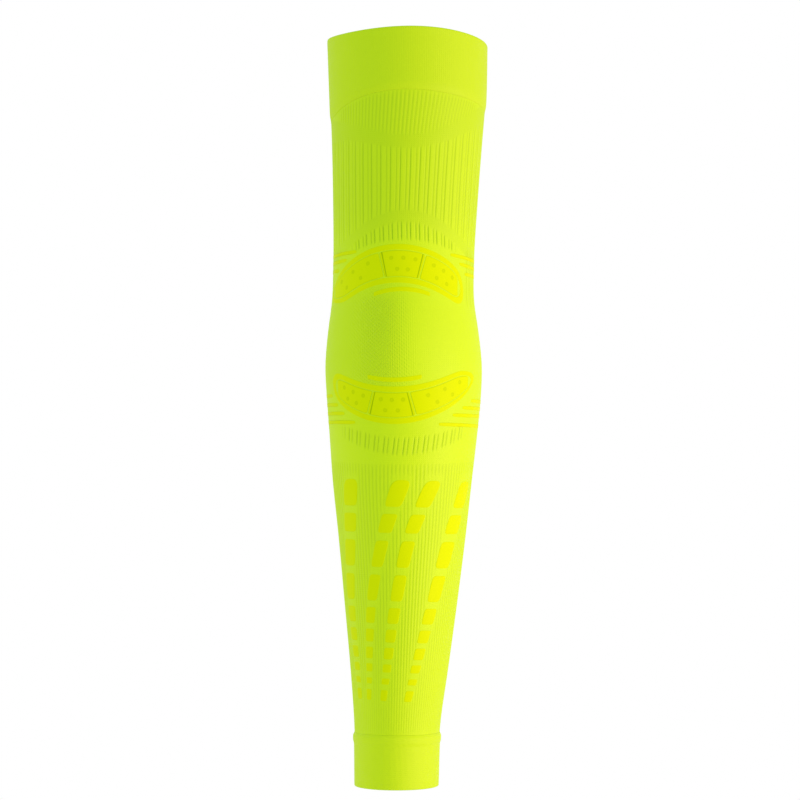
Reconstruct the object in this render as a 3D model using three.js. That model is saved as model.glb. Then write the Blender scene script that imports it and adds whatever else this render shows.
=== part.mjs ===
// Arm compression sleeve: a seamless knitted tube with a wide upper cuff, a rolled wrist cuff,
// two arched film bands that frame the elbow point, their straps, and film blocks down the forearm.
// Millimetres, +Z towards the shoulder, -Y on the side of the elbow point.
// A place on the sleeve has an angle (degrees from the elbow point line, towards +X), a distance
// down the arm from the middle of the upper mouth, and a lift off the outer face of the knit.
import * as THREE from "three";

// Walls and layers
const KNIT_WALL = 1.2;
const CUFF_WALL = 2.0;
const UPPER_CUFF_PROUD = 0.6;
const WRIST_CUFF_PROUD = 0.5;
const WRIST_ROLL_PROUD = 1.0;
const FILM_THICKNESS = 0.6;
const SEAT_GAP = 0.3;

// Cuffs: the upper hem is a plane that rises towards the elbow side and falls towards +X,
// and the lower edge of the upper cuff arches up on the elbow side and falls towards -X
const SLEEVE_LENGTH = 400;
const CUFF_EDGE = { front: 29.8, side: 41.5, power: 1.3 };
const CUFF_EDGE_SLANT = 2.9;
const WRIST_CUFF_HEIGHT = 29;
const UPPER_HEM_RISE = 3.8;
const UPPER_HEM_SLANT = 1.9;
const HEM_ROUND = 1.0;
const HEM_ROUND_MIDDLE = HEM_ROUND * 0.3;
const WRIST_HEM_BEVEL = 0.4;
const WRIST_ROLL_HEIGHT = 6;
const WRIST_ROLL_RISE = WRIST_ROLL_HEIGHT * 0.3;

// Ribs and facets
const RIB_COUNT = 68;
const RIB_DEPTH = 0.4;
const TUBE_SIDES = RIB_COUNT * 2;
const LINING_SIDES = RIB_COUNT / 2;
const CUFF_SIDES = 56;

// Arm form: one row for each level section, an ellipse about its own centre
const SECTIONS = [
  { down: 0, halfWidth: 42.8, halfDepth: 43.1, centreX: 0.0, centreY: 0.0 },
  { down: 35, halfWidth: 41.7, halfDepth: 42.0, centreX: 0.2, centreY: -3.0 },
  { down: 57, halfWidth: 40.4, halfDepth: 41.0, centreX: -0.3, centreY: -5.0 },
  { down: 85, halfWidth: 39.0, halfDepth: 40.2, centreX: -1.1, centreY: -7.6 },
  { down: 122, halfWidth: 37.8, halfDepth: 40.2, centreX: -2.1, centreY: -11.4 },
  { down: 140, halfWidth: 38.1, halfDepth: 41.6, centreX: -2.4, centreY: -13.2 },
  { down: 157, halfWidth: 40.3, halfDepth: 43.6, centreX: -2.3, centreY: -15.2 },
  { down: 176, halfWidth: 41.9, halfDepth: 45.0, centreX: -2.1, centreY: -16.2 },
  { down: 192, halfWidth: 41.2, halfDepth: 45.2, centreX: -2.0, centreY: -16.0 },
  { down: 210, halfWidth: 39.7, halfDepth: 44.4, centreX: -2.2, centreY: -15.1 },
  { down: 236, halfWidth: 37.3, halfDepth: 42.7, centreX: -2.8, centreY: -14.1 },
  { down: 264, halfWidth: 34.3, halfDepth: 40.1, centreX: -2.9, centreY: -12.9 },
  { down: 300, halfWidth: 30.4, halfDepth: 36.6, centreX: -3.5, centreY: -11.6 },
  { down: 338, halfWidth: 26.1, halfDepth: 33.0, centreX: -4.4, centreY: -10.3 },
  { down: 368, halfWidth: 23.0, halfDepth: 30.2, centreX: -5.5, centreY: -9.4 },
  { down: 400, halfWidth: 22.1, halfDepth: 29.5, centreX: -5.9, centreY: -8.6 },
];

// Knit rows of the tube: distance down at the front and at the sides, how sharply the row bows
// between them, and the share of the full rib depth that the row has
const KNIT_ROWS = [
  { front: 60, side: 50.5, power: 3, rib: 0 },
  { front: 64, side: 55, power: 3, rib: 1 },
  { front: 92, side: 112, power: 2, rib: 1 },
  { front: 97, side: 117, power: 2, rib: 0 },
  { front: 104, side: 119.5, power: 2, rib: 1 },
  { front: 109.5, side: 122, power: 2, rib: 0 },
  { front: 120, side: 127, power: 1, rib: 0 },
  { front: 131, side: 133, power: 1, rib: 0 },
  { front: 142, side: 142, power: 1, rib: 0 },
  { front: 156, side: 156, power: 1, rib: 0 },
  { front: 176, side: 176, power: 1, rib: 0 },
  { front: 192, side: 192, power: 1, rib: 0 },
  { front: 211, side: 203, power: 2, rib: 0 },
  { front: 218.5, side: 207, power: 2, rib: 1 },
  { front: 225.5, side: 212, power: 2, rib: 0 },
  { front: 231, side: 228, power: 2, rib: 1 },
  { front: 264, side: 264, power: 1, rib: 1 },
  { front: 300, side: 300, power: 1, rib: 1 },
  { front: 338, side: 338, power: 1, rib: 1 },
  { front: 366, side: 366, power: 1, rib: 1 },
];

// Levels of the inside of the tube between its two ends
const LINING_LEVELS = [60, 92, 122, 140, 157, 176, 194, 212, 264, 338];

// Elbow bands: level of both edges at the crown of the arch, how far each edge bows down the arm as
// the band goes round, the level where the arch stands on its feet, and its slant down towards +X
const ELBOW_BANDS = [
  { name: "upper_elbow", top: 112, topBow: 30, bottom: 133, bottomBow: 30, foot: 144.3, slant: 1.5 },
  { name: "lower_elbow", top: 187, topBow: -26, bottom: 207, bottomBow: -32, foot: 177.8, slant: 0 },
];

// Where a band lies round the arm, in degrees: its crown, the spans to its two ends, and the angles
// of the two splits between its panels
const BAND_ANGLES = {
  upper_elbow: { crown: -2, leftSpan: 80, rightSpan: 59.5, leftSplit: -17.8, rightSplit: 15.2 },
  lower_elbow: { crown: -7, leftSpan: 57.5, rightSpan: 69.5, leftSplit: -25.5, rightSplit: 6.5 },
};
const BAND_SQUARENESS = 12;
const RIM_WIDTH = 2.7;
const RIM_STEPS = 20;
const PANEL_INSET = 0.8;
const PANEL_END = 0.95;
const PANEL_STEPS = 7;
const PANEL_SPLIT_LEAN = 2.7;
const PANEL_SPLIT_HALF_GAP = 0.8;

// Short stripe between each band and the elbow point
const ELBOW_STRIPES = [
  { name: "upper_elbow_stripe", middle: -1, halfSpan: 23, level: 136, bow: 35 },
  { name: "lower_elbow_stripe", middle: -7, halfSpan: 20, level: 183.8, bow: -29 },
];
const STRIPE_HEIGHT = 2.7;
const STRIPE_STEPS = 8;

// Straps that leave the bands and run round the back of the arm: level at the front and the sides,
// how far they slant down towards +X, and the angles of both ends
const STRAPS = [
  { name: "upper_strap_1", front: 115, side: 118, slant: 1.3, from: 40, to: -41 },
  { name: "upper_strap_2", front: 118.5, side: 122, slant: 1.4, from: 51, to: -53 },
  { name: "upper_strap_3", front: 125, side: 126.2, slant: 1.2, from: 59, to: -65 },
  { name: "lower_strap_1", front: 193, side: 193, slant: 1.5, from: 60, to: -66 },
  { name: "lower_strap_2", front: 197.3, side: 197.3, slant: 1, from: 49, to: -58 },
  { name: "lower_strap_3", front: 201.6, side: 201.6, slant: 0.7, from: 39, to: -50 },
  { name: "lower_strap_4", front: 206.5, side: 206.5, slant: 1, from: 27, to: -39 },
];
const STRAP_HEIGHT = 2.3;
const STRAP_BOW = 2;
const STRAP_STEPS = 23;

// Forearm blocks: upper and lower edge of each row, and how far the rows slant down towards +X
const BLOCK_SLANT = 0.9;
const BLOCK_ROWS = [
  { top: 236.0, bottom: 250.5 },
  { top: 254.0, bottom: 264.2 },
  { top: 268.0, bottom: 282.4 },
  { top: 286.0, bottom: 300.2 },
  { top: 303.5, bottom: 312.0 },
  { top: 315.0, bottom: 321.9 },
  { top: 324.6, bottom: 330.8 },
  { top: 333.5, bottom: 337.8 },
  { top: 341.0, bottom: 344.2 },
  { top: 347.2, bottom: 353.0 },
];

// Forearm block columns: middle angle and width of the column at four places down the arm
const BLOCK_COLUMNS = [
  [
    { down: 236, angle: -47, width: 12.0 },
    { down: 265, angle: -54, width: 11.6 },
    { down: 300, angle: -61, width: 9.5 },
    { down: 353, angle: -56, width: 4.2 },
  ],
  [
    { down: 236, angle: 0, width: 10.6 },
    { down: 265, angle: -16.2, width: 7.8 },
    { down: 300, angle: -30.5, width: 6.4 },
    { down: 353, angle: -39.5, width: 3.4 },
  ],
  [
    { down: 236, angle: 27, width: 10.4 },
    { down: 265, angle: 7.6, width: 7.7 },
    { down: 300, angle: -5, width: 6.5 },
    { down: 353, angle: -19, width: 3.6 },
  ],
  [
    { down: 236, angle: 65, width: 13.0 },
    { down: 265, angle: 49, width: 12.2 },
    { down: 300, angle: 34, width: 8.6 },
    { down: 353, angle: 11.5, width: 4.1 },
  ],
];
const BLOCK_STEPS = 2;

const KNIT_MATERIAL = new THREE.MeshStandardMaterial({ color: 0xc8e42a, roughness: 0.9, metalness: 0 });
const CUFF_MATERIAL = new THREE.MeshStandardMaterial({ color: 0xc6e61e, roughness: 0.85, metalness: 0 });
const FILM_MATERIAL = new THREE.MeshStandardMaterial({ color: 0xe0ec08, roughness: 0.55, metalness: 0 });

// Slope of a table column at a row, weighted by the spacing of its neighbours
function slopeAt(rows, index, column) {
  const rise = (from) => {
    const length = rows[from + 1].down - rows[from].down;
    return (rows[from + 1][column] - rows[from][column]) / length;
  };
  if (index === 0) return rise(0);
  if (index === rows.length - 1) return rise(index - 1);
  const before = rows[index].down - rows[index - 1].down;
  const after = rows[index + 1].down - rows[index].down;
  return (rise(index - 1) * after + rise(index) * before) / (before + after);
}

// Smooth value of a table column at a distance down the arm, a cubic between two rows
function blendRows(rows, down, column) {
  const level = THREE.MathUtils.clamp(down, rows[0].down, rows[rows.length - 1].down);
  let index = 0;
  while (index < rows.length - 2 && rows[index + 1].down < level) index += 1;
  const span = rows[index + 1].down - rows[index].down;
  const t = (level - rows[index].down) / span;
  const startSlope = slopeAt(rows, index, column) * span;
  const endSlope = slopeAt(rows, index + 1, column) * span;
  const start = rows[index][column];
  const end = rows[index + 1][column];
  const bend = 2 * (start - end) + startSlope + endSlope;
  const sag = 3 * (end - start) - 2 * startSlope - endSlope;
  return start + t * (startSlope + t * (sag + t * bend));
}

function radians(angle) {
  return THREE.MathUtils.degToRad(angle);
}

// Point on the sleeve: the lift goes along the ellipse's own normal
function onSleeve(angle, down, lift) {
  const halfWidth = blendRows(SECTIONS, down, "halfWidth");
  const halfDepth = blendRows(SECTIONS, down, "halfDepth");
  const sine = Math.sin(radians(angle));
  const cosine = Math.cos(radians(angle));
  const normal = new THREE.Vector2(sine / halfWidth, -cosine / halfDepth).normalize();
  const x = blendRows(SECTIONS, down, "centreX") + halfWidth * sine + lift * normal.x;
  const y = blendRows(SECTIONS, down, "centreY") - halfDepth * cosine + lift * normal.y;
  return new THREE.Vector3(x, y, -down);
}

// Degrees that a width in millimetres takes up round the arm
function degreesAcross(width, angle, down) {
  const along = blendRows(SECTIONS, down, "halfWidth") * Math.cos(radians(angle));
  const away = blendRows(SECTIONS, down, "halfDepth") * Math.sin(radians(angle));
  return THREE.MathUtils.radToDeg(width / Math.hypot(along, away));
}

// Level of a row that bows between the front and the sides, and runs level round the back
function bowedLevel(row, angle) {
  const facing = Math.max(Math.cos(radians(angle)), 0);
  return row.side + (row.front - row.side) * facing ** row.power;
}

// Height of the tilted upper hem plane over its own middle, as a distance down the arm
function hemTilt(angle) {
  return UPPER_HEM_SLANT * Math.sin(radians(angle)) - UPPER_HEM_RISE * Math.cos(radians(angle));
}

// Level of the lower edge of the upper cuff
function cuffEdge(angle) {
  return bowedLevel(CUFF_EDGE, angle) - CUFF_EDGE_SLANT * Math.sin(radians(angle)) ** 3;
}

// Ring of points round the arm, place(angle, index) giving its level and lift
function ringRound(sides, place) {
  return Array.from({ length: sides }, (_, index) => {
    const angle = (360 * index) / sides;
    const { down, lift } = place(angle, index);
    return onSleeve(angle, down, lift);
  });
}

// Closed skin over a chain of rings, each zipped to the next and the last to the first
function closedChain(rings) {
  const positions = [];
  const triangles = [];
  const starts = [];
  for (const ring of rings) {
    starts.push(positions.length / 3);
    for (const point of ring) positions.push(point.x, point.y, point.z);
  }
  rings.forEach((ring, order) => {
    const following = (order + 1) % rings.length;
    const sizes = [ring.length, rings[following].length];
    const vertex = (side, step) => starts[side === 0 ? order : following] + (step % sizes[side]);
    let first = 0;
    let second = 0;
    while (first < sizes[0] || second < sizes[1]) {
      if ((first + 1) / sizes[0] <= (second + 1) / sizes[1]) {
        triangles.push(vertex(0, first), vertex(1, second), vertex(0, first + 1));
        first += 1;
      } else {
        triangles.push(vertex(0, first), vertex(1, second), vertex(1, second + 1));
        second += 1;
      }
    }
  });
  const geometry = new THREE.BufferGeometry();
  geometry.setAttribute("position", new THREE.Float32BufferAttribute(positions, 3));
  geometry.setIndex(triangles);
  geometry.computeVertexNormals();
  return geometry;
}

// Thin plate of film on the sleeve, place(across, up) giving its angle and level, both from 0 to 1
function filmPlate(acrossSteps, upSteps, place) {
  const geometry = new THREE.BoxGeometry(1, 1, 1, acrossSteps, upSteps, 1);
  const corners = geometry.attributes.position;
  for (let index = 0; index < corners.count; index += 1) {
    const { angle, down } = place(corners.getX(index) + 0.5, corners.getY(index) + 0.5);
    const lift = SEAT_GAP + (corners.getZ(index) > 0 ? FILM_THICKNESS : 0);
    const point = onSleeve(angle, down, lift);
    corners.setXYZ(index, point.x, point.y, point.z);
  }
  geometry.computeVertexNormals();
  return geometry;
}

const sleeve = new THREE.Group();

function addPiece(name, geometry, material) {
  const mesh = new THREE.Mesh(geometry, material);
  mesh.name = name;
  sleeve.add(mesh);
}

// Ribbed knitted tube, from under the upper cuff to the top of the wrist cuff
function armTube() {
  const topLevel = (angle) => cuffEdge(angle) + SEAT_GAP;
  const endLevel = SLEEVE_LENGTH - WRIST_CUFF_HEIGHT - SEAT_GAP;
  const groove = (index) => (index % 2 === 0 ? 0 : -RIB_DEPTH);
  const outside = KNIT_ROWS.map((row) => {
    const place = (angle, index) => ({ down: bowedLevel(row, angle), lift: row.rib * groove(index) });
    return ringRound(TUBE_SIDES, place);
  });
  const inside = LINING_LEVELS.map((down) => ringRound(LINING_SIDES, () => ({ down, lift: -KNIT_WALL })));
  return closedChain([
    ringRound(TUBE_SIDES, (angle) => ({ down: topLevel(angle), lift: 0 })),
    ...outside,
    ringRound(TUBE_SIDES, () => ({ down: endLevel, lift: 0 })),
    ringRound(LINING_SIDES, () => ({ down: endLevel, lift: -KNIT_WALL })),
    ...inside.reverse(),
    ringRound(LINING_SIDES, (angle) => ({ down: topLevel(angle), lift: -KNIT_WALL })),
  ]);
}

// Turned-over upper cuff: outside from the fold down, then the inside back up. Each place of the
// profile lies at a share of the way from the hem to the lower edge, and an extra distance down
function upperCuff() {
  const outer = UPPER_CUFF_PROUD;
  const inner = UPPER_CUFF_PROUD - CUFF_WALL;
  const profile = [
    { share: 0, extra: 0, lift: outer - HEM_ROUND },
    { share: 0, extra: HEM_ROUND_MIDDLE, lift: outer - HEM_ROUND_MIDDLE },
    { share: 0, extra: HEM_ROUND, lift: outer },
    { share: 0.5, extra: 0, lift: outer },
    { share: 1, extra: 0, lift: outer },
    { share: 1, extra: 0, lift: inner },
    { share: 0, extra: HEM_ROUND, lift: inner },
    { share: 0, extra: HEM_ROUND_MIDDLE, lift: inner + HEM_ROUND_MIDDLE },
  ];
  const rings = profile.map(({ share, extra, lift }) => {
    const level = (angle) => THREE.MathUtils.lerp(hemTilt(angle), cuffEdge(angle), share) + extra;
    return ringRound(CUFF_SIDES, (angle) => ({ down: level(angle), lift }));
  });
  return closedChain(rings);
}

// Turned-over wrist cuff with a soft roll at its seam and a flat lower edge
function wristCuff() {
  const start = SLEEVE_LENGTH - WRIST_CUFF_HEIGHT;
  const outer = WRIST_CUFF_PROUD;
  const inner = WRIST_CUFF_PROUD - CUFF_WALL;
  const profile = [
    { down: start, lift: 0 },
    { down: start + WRIST_ROLL_RISE, lift: WRIST_ROLL_PROUD },
    { down: start + WRIST_ROLL_HEIGHT - WRIST_ROLL_RISE, lift: WRIST_ROLL_PROUD },
    { down: start + WRIST_ROLL_HEIGHT, lift: outer },
    { down: SLEEVE_LENGTH - HEM_ROUND, lift: outer },
    { down: SLEEVE_LENGTH, lift: outer - WRIST_HEM_BEVEL },
    { down: SLEEVE_LENGTH, lift: inner + WRIST_HEM_BEVEL },
    { down: SLEEVE_LENGTH - HEM_ROUND, lift: inner },
    { down: start, lift: inner },
  ];
  return closedChain(profile.map((place) => ringRound(CUFF_SIDES, () => place)));
}

// Span in degrees from a band's crown to its end, on the side that a sign or share points to
function bandSpan(band, towards) {
  const { leftSpan, rightSpan } = BAND_ANGLES[band.name];
  return towards < 0 ? leftSpan : rightSpan;
}

// Place in an elbow band: along from -1 to 1 round the arm, up from -1 at the bottom edge to 1
function inBand(band, along, up) {
  const swing = bandSpan(band, along) * along;
  const angle = BAND_ANGLES[band.name].crown + swing;
  const turn = 1 - Math.cos(radians(swing));
  const aboveFoot = band.topBow > 0 ? Math.min : Math.max;
  const top = aboveFoot(band.top + band.topBow * turn, band.foot);
  const bottom = aboveFoot(band.bottom + band.bottomBow * turn, band.foot);
  const level = (top + bottom) / 2 - (up * (bottom - top)) / 2;
  return { angle, down: level + band.slant * Math.sin(radians(angle)) };
}

// Half height of a band's outline as a share of its full half height, with round ends
function outlineHeight(along) {
  return Math.sqrt(1 - Math.abs(along) ** BAND_SQUARENESS);
}

// Shares of a band's span and of its half height that lie inside an inset in millimetres
function shareInside(band, inset, towards) {
  const { crown } = BAND_ANGLES[band.name];
  const degrees = degreesAcross(inset, crown, (band.top + band.bottom) / 2);
  return { along: 1 - degrees / bandSpan(band, towards), up: 1 - (2 * inset) / (band.bottom - band.top) };
}

// Raised rim round an elbow band: a loop along the top edge and back along the bottom
function bandRim(band) {
  const steps = Array.from({ length: RIM_STEPS }, (_, index) => -1 + (2 * index) / RIM_STEPS);
  const forward = steps.map((step) => ({ along: Math.sin((Math.PI / 2) * step), side: 1 }));
  const backward = steps.map((step) => ({ along: -Math.sin((Math.PI / 2) * step), side: -1 }));
  const loop = [...forward, ...backward];
  const ring = (inset, lift) =>
    loop.map(({ along, side }) => {
      const inside = shareInside(band, inset, along);
      const { angle, down } = inBand(band, along * inside.along, side * outlineHeight(along) * inside.up);
      return onSleeve(angle, down, lift);
    });
  const low = SEAT_GAP;
  const high = SEAT_GAP + FILM_THICKNESS;
  return closedChain([ring(0, high), ring(RIM_WIDTH, high), ring(RIM_WIDTH, low), ring(0, low)]);
}

// Film panel inside a band's rim; its ends lean outwards on the side away from the elbow point
function bandPanel(band, order) {
  const { crown, leftSplit, rightSplit } = BAND_ANGLES[band.name];
  const inside = (along) => shareInside(band, RIM_WIDTH + PANEL_INSET, along);
  const lean = (up) => PANEL_SPLIT_LEAN * Math.sign(band.topBow) * (2 * up - 1);
  const left = (up, gap) => (leftSplit - lean(up) + gap - crown) / bandSpan(band, -1);
  const right = (up, gap) => (rightSplit + lean(up) + gap - crown) / bandSpan(band, 1);
  const ends = [
    (up) => ({ from: -PANEL_END * inside(-1).along, to: left(up, -PANEL_SPLIT_HALF_GAP) }),
    (up) => ({ from: left(up, PANEL_SPLIT_HALF_GAP), to: right(up, -PANEL_SPLIT_HALF_GAP) }),
    (up) => ({ from: right(up, PANEL_SPLIT_HALF_GAP), to: PANEL_END * inside(1).along }),
  ];
  return filmPlate(PANEL_STEPS, 1, (across, up) => {
    const { from, to } = ends[order](up);
    const along = from + (to - from) * across;
    const height = outlineHeight(along / inside(along).along) * inside(along).up;
    return inBand(band, along, (2 * up - 1) * height);
  });
}

// Short stripe beside the elbow point
function elbowStripe({ middle, halfSpan, level, bow }) {
  return filmPlate(STRIPE_STEPS, 1, (across, up) => {
    const swing = halfSpan * (2 * across - 1);
    const rise = STRIPE_HEIGHT * (up - 0.5);
    return { angle: middle + swing, down: level + bow * (1 - Math.cos(radians(swing))) - rise };
  });
}

// Strap that runs round the back, from its end on the +X side to its end on the -X side
function strap({ front, side, slant, from, to }) {
  const span = 360 + to - from;
  return filmPlate(STRAP_STEPS, 1, (across, up) => {
    const angle = from + span * across;
    const middle = bowedLevel({ front, side, power: STRAP_BOW }, angle) + slant * Math.sin(radians(angle));
    return { angle, down: middle - STRAP_HEIGHT * (up - 0.5) };
  });
}

// Forearm block: a leaning plate whose sides follow its column
function forearmBlock(column, { top, bottom }) {
  return filmPlate(BLOCK_STEPS, 1, (across, up) => {
    const level = bottom + (top - bottom) * up;
    const middle = blendRows(column, level, "angle");
    const width = blendRows(column, level, "width");
    const angle = middle + degreesAcross(width, middle, level) * (across - 0.5);
    return { angle, down: level + BLOCK_SLANT * Math.sin(radians(angle)) };
  });
}

addPiece("upper_cuff", upperCuff(), CUFF_MATERIAL);
addPiece("arm_tube", armTube(), KNIT_MATERIAL);
addPiece("wrist_cuff", wristCuff(), CUFF_MATERIAL);

for (const band of ELBOW_BANDS) {
  addPiece(`${band.name}_rim`, bandRim(band), FILM_MATERIAL);
  for (let order = 0; order < 3; order += 1) {
    addPiece(`${band.name}_panel_${order + 1}`, bandPanel(band, order), FILM_MATERIAL);
  }
}

for (const stripe of ELBOW_STRIPES) addPiece(stripe.name, elbowStripe(stripe), FILM_MATERIAL);
for (const place of STRAPS) addPiece(place.name, strap(place), FILM_MATERIAL);

BLOCK_COLUMNS.forEach((column, columnIndex) => {
  BLOCK_ROWS.forEach((row, rowIndex) => {
    addPiece(`forearm_block_${columnIndex + 1}_${rowIndex + 1}`, forearmBlock(column, row), FILM_MATERIAL);
  });
});

export default sleeve;
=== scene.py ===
# %% [markdown]
# # A knitted arm compression sleeve
# The real sleeve comes off a round knitting machine as one seamless tube. Ribbed zones grip the
# arm, two turned-over cuffs finish the ends, and thin yellow film is bonded on as bands and blocks.
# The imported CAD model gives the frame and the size, and this script adds what the eye sees.

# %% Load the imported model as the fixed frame
import bpy
import numpy as np
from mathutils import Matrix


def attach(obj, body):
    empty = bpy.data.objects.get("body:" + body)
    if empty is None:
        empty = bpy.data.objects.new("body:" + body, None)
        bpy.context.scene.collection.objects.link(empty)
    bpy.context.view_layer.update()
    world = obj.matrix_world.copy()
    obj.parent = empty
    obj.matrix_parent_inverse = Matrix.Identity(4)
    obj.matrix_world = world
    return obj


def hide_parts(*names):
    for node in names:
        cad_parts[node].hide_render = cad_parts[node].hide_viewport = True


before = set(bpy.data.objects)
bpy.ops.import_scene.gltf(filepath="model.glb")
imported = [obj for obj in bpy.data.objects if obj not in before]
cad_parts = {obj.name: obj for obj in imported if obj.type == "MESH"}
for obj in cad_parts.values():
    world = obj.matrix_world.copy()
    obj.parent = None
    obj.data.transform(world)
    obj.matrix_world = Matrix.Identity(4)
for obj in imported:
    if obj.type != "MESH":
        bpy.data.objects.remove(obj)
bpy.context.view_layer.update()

# %% [markdown]
# ## Places on a sleeve
# On cloth it is easiest to say where things are in the cloth's own terms. Here a place has an angle
# round the arm, a distance down the arm and a lift off the outside of the knit. A short table of
# level sections holds the arm's form, and a cubic through its rows keeps the form smooth.

# %% Sections of the arm, and the point at a place
MM = 0.001
# Columns in mm: down, half width, half depth, centre x, centre y
SECTIONS = np.array([
    (0, 42.8, 43.1, 0.0, 0.0), (35, 41.7, 42.0, 0.2, -3.0),
    (57, 40.4, 41.0, -0.3, -5.0), (85, 39.0, 40.2, -1.1, -7.6),
    (122, 37.8, 40.2, -2.1, -11.4), (140, 38.1, 41.6, -2.4, -13.2),
    (157, 40.3, 43.6, -2.3, -15.2), (176, 41.9, 45.0, -2.1, -16.2),
    (192, 41.2, 45.2, -2.0, -16.0), (210, 39.7, 44.4, -2.2, -15.1),
    (236, 37.3, 42.7, -2.8, -14.1), (264, 34.3, 40.1, -2.9, -12.9),
    (300, 30.4, 36.6, -3.5, -11.6), (338, 26.1, 33.0, -4.4, -10.3),
    (368, 23.0, 30.2, -5.5, -9.4), (400, 22.1, 29.5, -5.9, -8.6),
])


def smooth(rows, column, down):
    """Cubic through a column of a table; a row's slope is that of both its neighbours, weighted by
    how near they are."""
    at, value = rows[:, 0], rows[:, column]
    gap = np.diff(at)
    rise = np.diff(value) / gap
    inner = (rise[:-1] * gap[1:] + rise[1:] * gap[:-1]) / (gap[1:] + gap[:-1])
    slope = np.concatenate([rise[:1], inner, rise[-1:]])
    level = np.clip(down, at[0], at[-1])
    i = np.clip(np.searchsorted(at, level, side="right") - 1, 0, len(at) - 2)
    t = (level - at[i]) / gap[i]
    return (value[i] * (1 + 2 * t) * (1 - t) ** 2 + value[i + 1] * t ** 2 * (3 - 2 * t)
            + gap[i] * t * (1 - t) * (slope[i] * (1 - t) - slope[i + 1] * t))


# The elbow bone pushes the cloth out a little: height in mm, middle in degrees and mm, its spread
ELBOW_POINT = (2.0, -5, 162, 22, 28)


def on_sleeve(angle, down, lift):
    """Points in mm: each section is an ellipse, x = centre + half width * sin(angle) and
    y = centre - half depth * cos(angle), and the lift goes along the ellipse's normal. The elbow
    point adds height * exp(-(angle off / spread)^2 - (level off / spread)^2) to the lift."""
    angle, down, lift = np.broadcast_arrays(angle, down, lift)
    height, at_angle, at_level, round_spread, level_spread = ELBOW_POINT
    off = ((angle - at_angle + 180) % 360 - 180) / round_spread
    lift = lift + height * np.exp(-off ** 2 - ((down - at_level) / level_spread) ** 2)
    angle = np.radians(angle)
    wide, deep, middle_x, middle_y = (smooth(SECTIONS, column, down) for column in (1, 2, 3, 4))
    normal = np.stack([np.sin(angle) / wide, -np.cos(angle) / deep])
    normal = normal / np.hypot(*normal)
    x = middle_x + wide * np.sin(angle) + lift * normal[0]
    y = middle_y - deep * np.cos(angle) + lift * normal[1]
    return np.stack([x, y, -1.0 * down], axis=-1)


print("Elbow, mm:", on_sleeve(np.array([-90, 0, 90]), 180, 0).round(1).tolist())

# %% [markdown]
# ## The camera
# The photo was taken from almost two metres with a long lens, level with the forearm and tipped up
# by about one degree. A long lens keeps the two ends of the sleeve nearly as wide as they are.

# %% Camera
CAMERA_PLACE = (-0.00404, -1.824, -0.2323)
TIP_UP = 1.232


def add_object(name, data):
    """New object that holds this data, linked to the scene."""
    item = bpy.data.objects.new(name, data)
    bpy.context.scene.collection.objects.link(item)
    return item


camera_data = bpy.data.cameras.new("camera")
camera_data.sensor_width = 36
camera_data.lens = 152
camera = add_object("camera", camera_data)
camera.location = CAMERA_PLACE
camera.rotation_euler = (np.radians(90 + TIP_UP), 0, 0)
bpy.context.scene.camera = camera
print("Angle of view, degrees:", round(float(np.degrees(camera_data.angle)), 1))

# %% [markdown]
# ## From arrays to meshes
# Every piece here is a grid of points that is worked out all at once. Blender takes whole arrays of
# points and faces, which is far quicker than adding them one by one. A mesh can also keep a value at
# each point, such as the depth of a groove, for its material to read.

# %% Mesh from whole arrays
def new_piece(name, points, quads, stitches=None, **shares):
    """Mesh from points in mm and quads of point numbers. stitches has one pair for each corner of
    each quad, counted in knitted wales and courses; shares are values kept at the points."""
    mesh = bpy.data.meshes.new(name)
    mesh.vertices.add(len(points))
    mesh.vertices.foreach_set("co", (points * MM).ravel())
    mesh.loops.add(quads.size)
    mesh.loops.foreach_set("vertex_index", quads.ravel())
    mesh.polygons.add(len(quads))
    mesh.polygons.foreach_set("loop_start", np.arange(0, quads.size, 4))
    mesh.polygons.foreach_set("use_smooth", np.ones(len(quads), bool))
    mesh.update(calc_edges=True)
    if stitches is not None:
        mesh.uv_layers.new(name="stitches").uv.foreach_set("vector", stitches.ravel())
    for label, values in shares.items():
        mesh.attributes.new(label, "FLOAT", "POINT").data.foreach_set("value", values.ravel())
    return add_object(name, mesh)


# %% [markdown]
# ## Rings and pillows
# A tube, a cuff or a rim closes on itself both ways, like a ring doughnut. A patch of film is a
# pillow: a top and an underside that share their border. The knit also gets a map that counts its
# stitches. Wales are its columns, counted round the arm, and courses are its rows, counted down it.

# %% Closed skins over grids
# Wales round the arm, and height of a course in mm
WALES, COURSE = 224, 1.0


def ring_quads(rings, places):
    """Quads of point numbers over a grid of rings and places; both ways, the last meets the first."""
    r, p = np.meshgrid(np.arange(rings), np.arange(places), indexing="ij")
    r_next, p_next = (r + 1) % rings, (p + 1) % places
    corners = [(r, p), (r_next, p), (r_next, p_next), (r, p_next)]
    return np.stack([ring * places + place for ring, place in corners], axis=-1)


def ring_skin(name, points, **shares):
    """Closed skin over points[ring, place]."""
    quads = ring_quads(*points.shape[:2])
    return new_piece(name, points.reshape(-1, 3), quads.reshape(-1, 4), **shares)


def knit_skin(name, angle, down, lift, **shares):
    """Closed ring skin of knit, with its wales counted round the arm and its courses down it."""
    points = on_sleeve(angle, down, lift)
    rings, places = points.shape[:2]
    quads = ring_quads(rings, places)
    wale = WALES / 360 * np.append(angle, angle[0] + 360)
    corners = [wale[:-1], wale[:-1], wale[1:], wale[1:]]
    wales = np.broadcast_to(np.stack(corners, axis=-1), quads.shape)
    courses = (np.broadcast_to(down, (rings, places)) / COURSE).ravel()[quads]
    stitches = np.stack([wales, courses], axis=-1)
    return new_piece(name, points.reshape(-1, 3), quads.reshape(-1, 4), stitches, **shares)


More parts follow.
